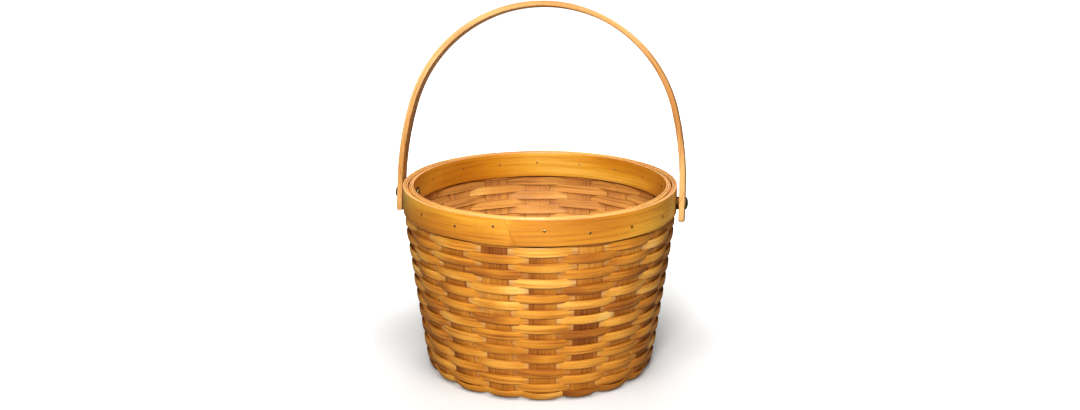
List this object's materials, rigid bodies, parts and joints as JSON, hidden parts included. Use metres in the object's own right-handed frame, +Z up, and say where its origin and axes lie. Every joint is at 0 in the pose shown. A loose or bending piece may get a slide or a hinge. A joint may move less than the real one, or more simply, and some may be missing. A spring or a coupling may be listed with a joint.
{
  "type": "woven market basket",
  "caption": "Round market basket of woven flat wood splints, with a two-band rim and a swinging bentwood handle on rivets.",
  "frame": {"origin": "on the floor under the middle of the basket", "axes": "+Z up; the handle pivots about a line along X and leans towards +Y at rest"},
  "size_m": [0.3252, 0.3, 0.402],
  "materials": {
    "splint_wood": "stained satin",
    "weaver_wood": "stained satin",
    "rim_wood": "stained semi-gloss",
    "handle_wood": "clear satin",
    "rivet_metal": "dark antique",
    "tack_metal": "dulled"
  },
  "bodies": {
    "basket": {"splint_long_1": "splint_wood", "splint_long_2": "splint_wood", "splint_long_3": "splint_wood", "splint_long_4": "splint_wood", "splint_long_5": "splint_wood", "splint_cross_1": "splint_wood", "splint_cross_2": "splint_wood", "splint_cross_3": "splint_wood", "splint_cross_4": "splint_wood", "weaver_row_01": "weaver_wood", "weaver_row_02": "weaver_wood", "weaver_row_03": "weaver_wood", "weaver_row_04": "weaver_wood", "weaver_row_05": "weaver_wood", "weaver_row_06": "weaver_wood", "weaver_row_07": "weaver_wood", "weaver_row_08": "weaver_wood", "weaver_row_09": "weaver_wood", "weaver_row_10": "weaver_wood", "weaver_row_11": "weaver_wood", "weaver_row_12": "weaver_wood", "weaver_row_13": "weaver_wood", "weaver_row_14": "weaver_wood", "weaver_row_15": "weaver_wood", "weaver_row_16": "weaver_wood", "weaver_row_17": "weaver_wood", "weaver_row_18": "weaver_wood", "weaver_row_19": "weaver_wood", "weaver_row_20": "weaver_wood", "weaver_row_21": "weaver_wood", "weaver_row_22": "weaver_wood", "weaver_row_23": "weaver_wood", "weaver_row_24": "weaver_wood", "rim_outer_band": "rim_wood", "rim_inner_band": "rim_wood", "rim_tacks": "tack_metal", "rivet_left": "rivet_metal", "spacer_washer_left": "rivet_metal", "burr_washer_left": "rivet_metal", "rivet_right": "rivet_metal", "spacer_washer_right": "rivet_metal", "burr_washer_right": "rivet_metal"},
    "handle": {"handle": "handle_wood"}
  },
  "joints": [
    {"name": "handle_swing", "type": "hinge", "parent": "basket", "child": "handle", "pos_m": [0, 0, 0.19], "axis": [1, 0, 0], "range_deg": [-125, 149]}
  ]
}
